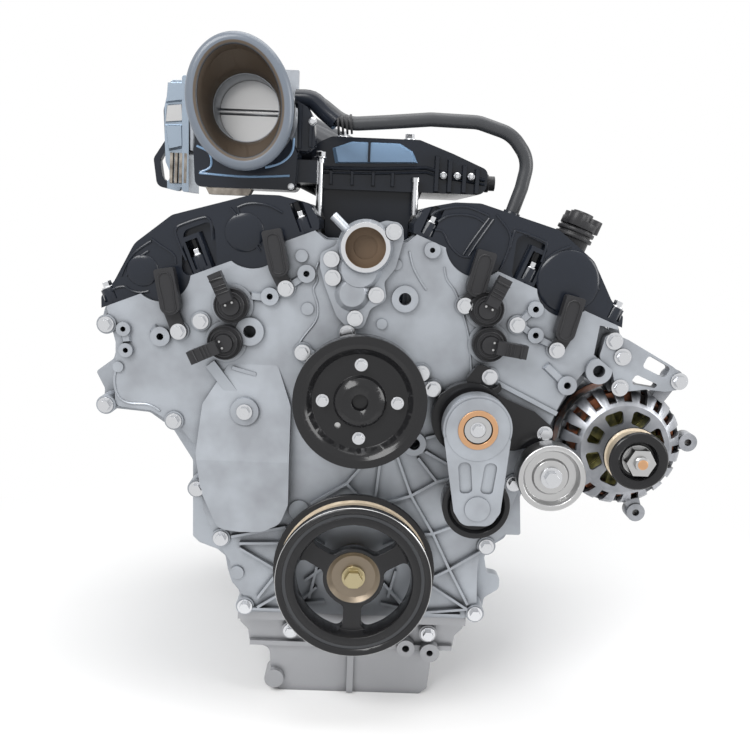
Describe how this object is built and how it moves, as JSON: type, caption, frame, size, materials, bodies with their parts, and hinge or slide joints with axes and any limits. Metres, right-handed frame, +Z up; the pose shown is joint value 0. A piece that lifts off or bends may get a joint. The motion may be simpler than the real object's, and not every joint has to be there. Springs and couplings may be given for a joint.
{
  "type": "v-six engine",
  "caption": "Front-dressed V engine: ribbed timing cover, spoked damper, pump pulley, tensioner, vented alternator, black cam covers, intake manifold and round air duct.",
  "frame": {"origin": "centre of the crankshaft's rear flange face, in the plane of the block's rear face", "axes": "+X to the alternator side, +Y rearwards along the crankshaft, +Z up; the pulleys face -Y"},
  "size_m": [0.7129, 0.526, 0.7814],
  "materials": {
    "cast_aluminium": "as-cast, matt",
    "steel": "machined",
    "chain_steel": "oiled",
    "bright_bolts": "zinc-plated, bright",
    "black_plastic": "glossy moulded",
    "matt_plastic": "moulded",
    "pan_metal": "satin",
    "black_metal": "gloss black",
    "hub_metal": "machined iron",
    "isolator_rubber": "matt",
    "hose_rubber": "satin",
    "duct_rubber": "glossy",
    "bush_bronze": "machined bronze",
    "windings": "varnished copper on a laminated core",
    "gasket_steel": "coated"
  },
  "bodies": {
    "engine": {"engine_block": "cast_aluminium", "main_bearing_caps": "hub_metal", "rear_seal_housing": "cast_aluminium", "pistons": "cast_aluminium", "cylinder_head_right": "cast_aluminium", "cylinder_head_left": "cast_aluminium", "head_gaskets": "gasket_steel", "relay_pins": "steel", "timing_chains": "chain_steel", "cam_cover_right": "black_plastic", "cam_cover_left": "black_plastic", "cam_cover_bolts": "bright_bolts", "ignition_coils": "matt_plastic", "spark_plugs": "bright_bolts", "timing_cover": "cast_aluminium", "phaser_solenoids": "matt_plastic", "cam_position_sensors": "matt_plastic", "water_pump_housing": "cast_aluminium", "tensioner_base": "black_metal", "pivot_bolts": "bright_bolts", "alternator_front_housing": "cast_aluminium", "alternator_stator": "windings", "alternator_rear_housing": "cast_aluminium", "alternator_bracket": "cast_aluminium", "front_bolts": "bright_bolts", "thermostat_housing": "cast_aluminium", "breather_hose": "hose_rubber", "air_duct": "duct_rubber", "throttle_body": "cast_aluminium", "throttle_gear_cover": "pan_metal", "intake_manifold": "black_plastic", "intake_manifold_bolts": "bright_bolts", "oil_filler_neck": "black_plastic", "oil_pan": "pan_metal", "oil_pan_bolts": "bright_bolts", "oil_drain_plug": "steel"},
    "crank": {"crankshaft": "steel", "crank_sprocket": "steel", "damper_hub": "black_metal", "damper_isolator": "isolator_rubber", "damper_rim": "black_metal", "crank_bolt": "bush_bronze"},
    "relay_right": {"relay_wheel_right": "steel"},
    "relay_left": {"relay_wheel_left": "steel"},
    "cam_intake_right": {"camshaft_intake_right": "steel"},
    "cam_exhaust_right": {"camshaft_exhaust_right": "steel"},
    "cam_intake_left": {"camshaft_intake_left": "steel"},
    "cam_exhaust_left": {"camshaft_exhaust_left": "steel"},
    "pump": {"water_pump_rotor": "steel", "water_pump_pulley": "black_metal", "water_pump_pulley_bolts": "bright_bolts"},
    "tensioner": {"tensioner_arm": "cast_aluminium", "tensioner_bush": "bush_bronze"},
    "tensioner_roller": {"tensioner_pulley": "black_metal"},
    "idler": {"idler_pulley": "steel"},
    "alternator": {"alternator_rotor": "steel", "alternator_pulley": "black_metal", "alternator_nut": "steel"},
    "throttle": {"throttle_plate": "steel"},
    "filler_cap": {"oil_filler_cap": "matt_plastic"}
  },
  "joints": [
    {"name": "crank_spin", "type": "hinge", "parent": "engine", "child": "crank", "pos_m": [0, 0, 0], "axis": [0, 1, 0], "continuous": true},
    {"name": "relay_right_spin", "type": "hinge", "parent": "engine", "child": "relay_right", "pos_m": [0.118, -0.43, 0.185], "axis": [0, 1, 0], "continuous": true},
    {"name": "relay_left_spin", "type": "hinge", "parent": "engine", "child": "relay_left", "pos_m": [-0.118, -0.43, 0.185], "axis": [0, 1, 0], "continuous": true},
    {"name": "cam_intake_right_spin", "type": "hinge", "parent": "engine", "child": "cam_intake_right", "pos_m": [0.127, -0.2, 0.383], "axis": [0, 1, 0], "continuous": true},
    {"name": "cam_exhaust_right_spin", "type": "hinge", "parent": "engine", "child": "cam_exhaust_right", "pos_m": [0.229, -0.2, 0.338], "axis": [0, 1, 0], "continuous": true},
    {"name": "cam_intake_left_spin", "type": "hinge", "parent": "engine", "child": "cam_intake_left", "pos_m": [-0.127, -0.2, 0.383], "axis": [0, 1, 0], "continuous": true},
    {"name": "cam_exhaust_left_spin", "type": "hinge", "parent": "engine", "child": "cam_exhaust_left", "pos_m": [-0.229, -0.2, 0.338], "axis": [0, 1, 0], "continuous": true},
    {"name": "pump_spin", "type": "hinge", "parent": "engine", "child": "pump", "pos_m": [0, -0.48, 0.206], "axis": [0, 1, 0], "continuous": true},
    {"name": "tensioner_swing", "type": "hinge", "parent": "engine", "child": "tensioner", "pos_m": [0.13, -0.5, 0.183], "axis": [0, 1, 0], "range_deg": [-4, 20]},
    {"name": "tensioner_roller_spin", "type": "hinge", "parent": "tensioner", "child": "tensioner_roller", "pos_m": [0.1345, -0.499, 0.093], "axis": [0, 1, 0], "continuous": true},
    {"name": "idler_spin", "type": "hinge", "parent": "engine", "child": "idler", "pos_m": [0.217, -0.499, 0.1285], "axis": [0, 1, 0], "continuous": true},
    {"name": "alternator_spin", "type": "hinge", "parent": "engine", "child": "alternator", "pos_m": [0.312, -0.45, 0.152], "axis": [0, 1, 0], "continuous": true},
    {"name": "throttle_turn", "type": "hinge", "parent": "engine", "child": "throttle", "pos_m": [-0.142, -0.367, 0.524], "axis": [1, 0, 0], "range_deg": [0, 85]},
    {"name": "filler_cap_turn", "type": "hinge", "parent": "engine", "child": "filler_cap", "pos_m": [0.236, -0.42, 0.38], "axis": [0.342, 0, 0.9397], "range_deg": [0, 90]}
  ],
  "couplings": [
    {"joint": "relay_right_spin", "follows": "crank_spin", "ratio": 0.66667},
    {"joint": "relay_left_spin", "follows": "crank_spin", "ratio": 0.66667},
    {"joint": "cam_intake_right_spin", "follows": "crank_spin", "ratio": 0.5},
    {"joint": "cam_exhaust_right_spin", "follows": "crank_spin", "ratio": 0.5},
    {"joint": "cam_intake_left_spin", "follows": "crank_spin", "ratio": 0.5},
    {"joint": "cam_exhaust_left_spin", "follows": "crank_spin", "ratio": 0.5}
  ]
}
